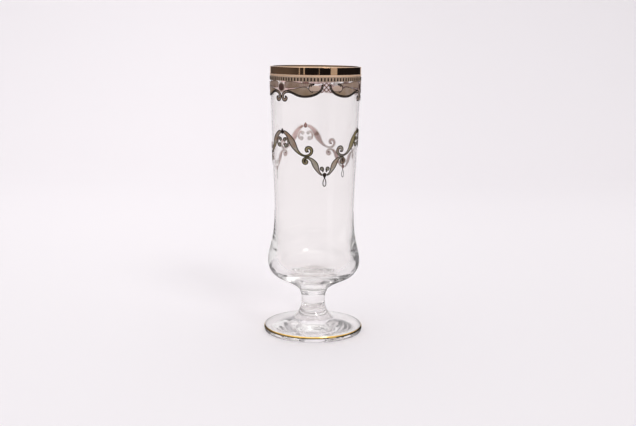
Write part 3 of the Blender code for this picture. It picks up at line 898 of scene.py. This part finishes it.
def diaper():
    # pale ground crossed by brown bars both ways
    material, nodes, links, shader = newMaterial("diaperGold")
    shader.inputs["Metallic"].default_value = lattice["metal"]
    shader.inputs["Roughness"].default_value = lattice["roughness"]
    along = ownValue(nodes, "alongLine")
    crossed = nodes.new("ShaderNodeMath")
    crossed.operation = 'MULTIPLY'
    for i, angle in enumerate(lattice["barAngles"]):
        turned = nodes.new("ShaderNodeMapping")
        turned.inputs["Rotation"].default_value = (0, 0, angle)
        bars = nodes.new("ShaderNodeTexWave")
        bars.bands_direction = 'X'
        bars.inputs["Scale"].default_value = lattice["barScale"]
        links.new(along.outputs["Vector"], turned.inputs["Vector"])
        links.new(turned.outputs["Vector"], bars.inputs["Vector"])
        links.new(bars.outputs["Fac"], crossed.inputs[i])
    links.new(toned(nodes, links, crossed.outputs["Value"], lattice["tones"]), shader.inputs["Base Color"])
    return material


tone["diaperGold"] = diaper()
# sizes are width and height; a fill or bead also has how far it rises
bosses = {
    "rise": 0.0005,
    "voluteFillAt": (0.240, 0.0043),
    "voluteFill": (0.0078, 0.0046, 0.00025),
    "roundelDrop": 0.0037,
    "roundelSize": (0.0048, 0.0046),
    "roundelRing": (0.0053, 0.0051),
    "roundelRingBar": 0.0005,
    "collarSize": (0.0068, 0.0066),
    "collarBar": 0.0010,
    "smallBead": (0.0014, 0.0014, 0.0003),
    "peakDrop": 0.0026,
    "peakSize": (0.0030, 0.0036),
    "peakBeadAt": 0.45,
    "knotDrop": 0.0329,
    "knotSize": (0.0030, 0.0034),
    "knotBeadAt": 0.5,
    "pendantSize": (0.0028, 0.0064),
    "pendantGap": 0.0005,
    "pendantBar": 0.0007,
    "pendantTaper": 0.3,
}


def addOrnament(pieces, name, node):
    finishPiece(joined(pieces), name, [], [node], repeats["smoothAngle"])


for k in range(repeats["count"]):
    axis = repeats["firstPendant"] + 2 * halfRepeat * k
    peak = axis + halfRepeat
    b = bosses
    for side, hand in ((-1, "left"), (1, "right")):
        tag = f"{k + 1}_{hand}"
        border, garland = (borderTop, axis, side), (garlandTop, axis, side)
        s = scrolls["borderLine"]
        pieces = [ribbon(bodyLeaf, *border, tone["borderGold"]), ribbon(s, *border, tone["borderGold"]),
                  ribbon(scrolls["borderWing"], *border, tone["wingGold"]),
                  eyeOf(s, *border, True, eyes["borderScroll"])]
        addOrnament(pieces, f"borderScroll_{tag}", f"border_scroll_{tag}")
        share, drop = b["voluteFillAt"]
        pieces = [ribbon(scrolls["borderVolute"], *border, tone["borderGold"]),
                  bead(axis + side * share * halfRepeat, borderTop - drop, *b["voluteFill"],
                       "rosyGold", "glassSide")]
        addOrnament(pieces, f"borderVolute_{tag}", f"border_volute_{tag}")
        s = scrolls["garlandLeaf"]
        pieces = [ribbon(s, *garland, tone["garlandGold"]), eyeOf(s, *garland, False, eyes["garlandLeaf"])]
        addOrnament(pieces, f"garlandLeaf_{tag}", f"garland_leaf_{tag}")
        s = scrolls["garlandCurl"]
        pieces = [ribbon(s, *garland, tone["garlandGold"]), *ringed(s, *garland, True, eyes["curlStart"]),
                  *ringed(s, *garland, False, eyes["curlEnd"])]
        addOrnament(pieces, f"garlandCurl_{tag}", f"garland_curl_{tag}")
        s = scrolls["garlandSwag"]
        pieces = [ribbon(s, *garland, tone["garlandGold"]), eyeOf(s, *garland, True, eyes["garlandSwag"])]
        addOrnament(pieces, f"garlandSwag_{tag}", f"garland_swag_{tag}")
        s = scrolls["garlandBud"]
        pieces = [ribbon(s, *garland, tone["garlandGold"]), *ringed(s, *garland, True, eyes["bud"])]
        addOrnament(pieces, f"garlandBud_{tag}", f"garland_bud_{tag}")
    addOrnament([latticePanel(axis)], f"borderLattice_{k + 1}", f"border_lattice_{k + 1}")
    place = borderTop - b["roundelDrop"]
    pieces = [bead(peak, place, *b["roundelSize"], b["rise"], "bossBrown"),
              loop(peak, place, *b["roundelRing"], b["roundelRingBar"], "darkGold"),
              loop(peak, place, *b["collarSize"], b["collarBar"], "collarGold")]
    addOrnament(pieces, f"borderRoundel_{k + 1}", f"border_roundel_{k + 1}")
    place = garlandTop - b["peakDrop"]
    pieces = [bead(peak, place, *b["peakSize"], b["rise"], "darkGold"),
              bead(peak, place + b["peakSize"][1] * b["peakBeadAt"], *b["smallBead"], "darkGold")]
    addOrnament(pieces, f"garlandPeak_{k + 1}", f"garland_peak_{k + 1}")
    place = garlandTop - b["knotDrop"]
    pieces = [bead(axis, place, *b["knotSize"], b["rise"], "darkGold"),
              bead(axis, place - b["knotSize"][1] * b["knotBeadAt"], *b["smallBead"], "darkGold")]
    addOrnament(pieces, f"garlandKnot_{k + 1}", f"garland_knot_{k + 1}")
    place -= b["knotSize"][1] / 2 + b["pendantGap"] + b["pendantSize"][1] / 2
    pieces = [loop(axis, place, *b["pendantSize"], b["pendantBar"], "darkGold", b["pendantTaper"])]
    addOrnament(pieces, f"garlandPendant_{k + 1}", f"garland_pendant_{k + 1}")
print("ornament drawn")

# stage
stage = {
    "halfWidth": 1.0,
    "front": -0.95,
    "back": 1.3,
    "height": 1.4,
    "bend": 0.5,
    "bendSteps": 16,
    "colour": (0.86, 0.83, 0.85),
    "roughness": 0.7,
    "shine": 0.2,
    # painted light and shade on the sweep: its colour is scaled paler to the left and behind
    "fadeAcross": (-0.3, 0.3),
    "lightAndShadeAcross": (1.03, 0.94),
    "fadeBack": (-0.3, 0.6),
    "lightAndShadeBack": (0.93, 1.05),
    "background": (0.92, 0.90, 0.92),
}


def paleCard():
    # painted light and shade: a little paler behind and on the left than in front and on the right
    material, nodes, links, shader = newMaterial("paleCard")
    shader.inputs["Roughness"].default_value = stage["roughness"]
    shader.inputs["Specular IOR Level"].default_value = stage["shine"]
    place = nodes.new("ShaderNodeTexCoord")
    parts = nodes.new("ShaderNodeSeparateXYZ")
    share = nodes.new("ShaderNodeMath")
    share.operation = 'MULTIPLY'
    links.new(place.outputs["Object"], parts.inputs["Vector"])
    across = mapped(nodes, links, parts.outputs["X"], stage["fadeAcross"], stage["lightAndShadeAcross"], 'SMOOTHSTEP')
    back = mapped(nodes, links, parts.outputs["Y"], stage["fadeBack"], stage["lightAndShadeBack"], 'SMOOTHSTEP')
    links.new(across, share.inputs[0])
    links.new(back, share.inputs[1])
    colour = nodes.new("ShaderNodeVectorMath")
    colour.operation = 'SCALE'
    colour.inputs["Vector"].default_value = stage["colour"]
    links.new(share.outputs["Value"], colour.inputs["Scale"])
    links.new(colour.outputs["Vector"], shader.inputs["Base Color"])
    return material


clearSelection()
bpy.ops.mesh.primitive_plane_add(size=1, location=(0, 0, 0))
sweep = bpy.context.object
sweep.name = "sweep"
for vert in sweep.data.vertices:
    vert.co.x *= 2 * stage["halfWidth"]
    vert.co.y = stage["front"] if vert.co.y < 0 else stage["back"]
bpy.ops.object.mode_set(mode='EDIT')
bpy.ops.mesh.select_all(action='DESELECT')
bpy.ops.object.mode_set(mode='OBJECT')
for edge in sweep.data.edges:
    edge.select = all(sweep.data.vertices[v].co.y > 0 for v in edge.vertices)
bpy.ops.object.mode_set(mode='EDIT')
bpy.ops.mesh.select_mode(type='EDGE')
bpy.ops.mesh.extrude_region_move(TRANSFORM_OT_translate={"value": (0, 0, stage["height"])})
bpy.ops.object.mode_set(mode='OBJECT')
fold = sweep.modifiers.new("fold", 'BEVEL')
fold.width = stage["bend"]
fold.segments = stage["bendSteps"]
bpy.ops.object.modifier_apply(modifier="fold")
bpy.ops.object.shade_smooth()
sweep.data.materials.append(paleCard())
sweep.visible_glossy = False

# dark cards left and right, out of the picture, that the thick glass shows at its edges
cards = {
    "edgeColour": (0.80, 0.78, 0.79),
    "roughness": 0.8,
    "fadeAcross": (0.34, 0.27),
    "fadeEdge": 0.03,
    "bowlSurfaces": 4,
}
cardPlaces = {  # near point, far point, low and high edge, tone
    "right": ((0.27, 1.06), (0.80, 0.55), (0.11, 0.27), (0.08, 0.078, 0.08)),
    "rightHigh": ((0.27, 1.06), (0.80, 0.55), (0.27, 0.62), (0.50, 0.485, 0.50)),
    "rightSide": ((0.80, 0.55), (0.93, 0.27), (0.11, 0.62), (0.16, 0.155, 0.16)),
    "left": ((-0.27, 1.06), (-0.92, 0.50), (0.11, 0.27), (0.28, 0.27, 0.28)),
    "leftHigh": ((-0.62, 0.80), (-0.92, 0.50), (0.36, 0.62), (0.16, 0.155, 0.16)),
}


def darkCard(name, colour, low, high):
    # paler towards the backdrop and along the low and the high edge
    material, nodes, links, shader = newMaterial(name)
    shader.inputs["Roughness"].default_value = cards["roughness"]
    place = nodes.new("ShaderNodeTexCoord")
    parts = nodes.new("ShaderNodeSeparateXYZ")
    aside = nodes.new("ShaderNodeMath")
    aside.operation = 'ABSOLUTE'
    links.new(place.outputs["Object"], parts.inputs["Vector"])
    links.new(parts.outputs["X"], aside.inputs[0])
    fade = cards["fadeEdge"]
    for value, reach in (
        (aside.outputs["Value"], cards["fadeAcross"]),
        (parts.outputs["Z"], (low + fade, low)),
        (parts.outputs["Z"], (high - fade, high)),
    ):
        colour = mixed(nodes, links, mapped(nodes, links, value, reach), colour, cards["edgeColour"])
    # pale where it is seen straight through the bowl, past the four surfaces of two walls
    path = nodes.new("ShaderNodeLightPath")
    straight = nodes.new("ShaderNodeMath")
    straight.operation = 'COMPARE'
    straight.inputs[1].default_value = cards["bowlSurfaces"]
    straight.inputs[2].default_value = 0.5
    links.new(path.outputs["Transmission Depth"], straight.inputs[0])
    colour = mixed(nodes, links, straight.outputs["Value"], colour, cards["edgeColour"])
    links.new(colour, shader.inputs["Base Color"])
    return material


for hand, (near, far, (low, high), shade) in cardPlaces.items():
    clearSelection()
    bpy.ops.mesh.primitive_plane_add(size=1, location=(0, 0, 0))
    card = bpy.context.object
    card.name = hand + "Card"
    for vert in card.data.vertices:
        x, y = near if vert.co.x < 0 else far
        vert.co = (x, y, low if vert.co.y < 0 else high)
    card.data.materials.append(darkCard(hand + "Tone", shade, low, high))
    card.visible_camera = card.visible_diffuse = card.visible_glossy = card.visible_shadow = False

# light
lamps = {  # place, target, size, power
    "keyLight": ((0.60, -1.0, 1.25), (0, 0, 0.1), (0.4, 0.4), 7),
    "topLight": ((0, 0.2, 1.8), (0, 0.2, 0), (2.0, 2.0), 14),
}
# tall soft strips that the polished band mirrors: degrees from the camera's direction, and width
strips = {
    "distance": 1.2,
    "height": 0.7,
    "middle": 0.15,
    "radiance": 0.5,
    "places": ((-40, 0.045), (-28, 0.06), (9, 0.02), (46, 0.36)),
}


def softbox(name, place, target, size, power):
    clearSelection()
    bpy.ops.object.light_add(type='AREA', location=place)
    lamp = bpy.context.object
    lamp.name = name
    lamp.data.shape = 'RECTANGLE'
    lamp.data.size, lamp.data.size_y = size
    lamp.data.energy = power
    lamp.rotation_euler = (Vector(target) - Vector(place)).to_track_quat('-Z', 'Y').to_euler()
    lamp.visible_camera = False
    return lamp


softbox("keyLight", *lamps["keyLight"])
topLamp = softbox("topLight", *lamps["topLight"])
topLamp.visible_transmission = False
for degrees, width in strips["places"]:
    angle = math.radians(degrees)
    place = (strips["distance"] * math.sin(angle), -strips["distance"] * math.cos(angle), strips["middle"])
    power = strips["radiance"] * math.pi * width * strips["height"]
    strip = softbox("strip", place, (0, 0, strips["middle"]), (width, strips["height"]), power)
    strip.visible_transmission = False

# the room round the stage: the direction of each part, and its stops from behind, 0, to straight ahead, 1
pale, dark, none = (0.89, 0.87, 0.88), (0.15, 0.145, 0.15), (0, 0, 0)
fillLight = (0.60, 0.59, 0.60)
roomParts = {
    "leftWall": ((-0.93, -0.37, 0.1), ((0.66, pale), (0.86, dark))),
    "window": ((-0.68, -0.59, 0.44), ((0.985, none), (0.994, pale))),
    "lowWall": ((0, 0, 1), ((0.487, pale), (0.515, none))),
    "ceiling": ((0, 0, 1), ((0.60, (0.012, 0.012, 0.015)), (0.80, (1.2, 1.18, 1.18)))),
    "backdrop": ((0, 1, 0.1), ((0.93, none), (0.975, (0.9, 0.88, 0.89)))),
    "leftSide": ((-1, 0.15, 0), ((0.60, none), (0.95, (0.11, 0.10, 0.10)))),
}


def roomLight():
    # seen through the glass the room is pale, with a dark wall and a window on the left, above the horizon
    # in reflections it is dark, with a pale ceiling and backdrop
    world = bpy.context.scene.world or bpy.data.worlds.new("room")
    bpy.context.scene.world = world
    world.use_nodes = True
    nodes, links = world.node_tree.nodes, world.node_tree.links
    direction = nodes.new("ShaderNodeTexCoord")

    def gradient(towards, stops):
        dot = nodes.new("ShaderNodeVectorMath")
        dot.operation = 'DOT_PRODUCT'
        dot.inputs[1].default_value = Vector(towards).normalized()
        links.new(direction.outputs["Generated"], dot.inputs[0])
        return toned(nodes, links, mapped(nodes, links, dot.outputs["Value"], (-1, 1)), stops)

    def lightest(first, *others):
        colour = gradient(*roomParts[first])
        for name in others:
            mix = nodes.new("ShaderNodeMix")
            mix.data_type = 'RGBA'
            mix.blend_type = 'LIGHTEN'
            mix.inputs["Factor"].default_value = 1
            links.new(colour, mix.inputs[6])
            links.new(gradient(*roomParts[name]), mix.inputs[7])
            colour = mix.outputs[2]
        return colour

    through = lightest("leftWall", "window", "lowWall")
    mirrored = lightest("ceiling", "backdrop", "leftSide")
    seen = nodes.new("ShaderNodeLightPath")
    colour = mixed(nodes, links, seen.outputs["Is Glossy Ray"], fillLight, mirrored)
    colour = mixed(nodes, links, seen.outputs["Is Transmission Ray"], colour, through)
    colour = mixed(nodes, links, seen.outputs["Is Camera Ray"], colour, stage["background"])
    links.new(colour, nodes["Background"].inputs["Color"])


roomLight()
bpy.context.scene.view_settings.view_transform = 'Standard'
# light that is led along inside the thick glass needs more bounces than usual
lightPaths = bpy.context.scene.cycles
lightPaths.max_bounces, lightPaths.glossy_bounces, lightPaths.transmission_bounces = 32, 24, 32

# camera, found from the photograph's ellipses
camera = {
    "distance": 0.73119,
    "height": 0.22052,
    "pitch": 0.176247,
    "yaw": 0.0040256,
    "roll": 0.0111016,
    "focalPixels": 983.50,
    "imageWidth": 636,
    "sensorWidth": 36,
    "clipStart": 0.01,
}
clearSelection()
bpy.ops.object.camera_add(location=(0, -camera["distance"], camera["height"]))
view = bpy.context.object
turn = Matrix.Rotation(-camera["yaw"], 4, 'Z') @ Matrix.Rotation(math.pi / 2 - camera["pitch"], 4, 'X')
turn = turn @ Matrix.Rotation(camera["roll"], 4, 'Z')
view.rotation_euler = turn.to_euler()
view.data.sensor_fit = 'HORIZONTAL'
view.data.sensor_width = camera["sensorWidth"]
view.data.lens = camera["focalPixels"] * camera["sensorWidth"] / camera["imageWidth"]
view.data.clip_start = camera["clipStart"]
bpy.context.scene.camera = view
print("stage set")
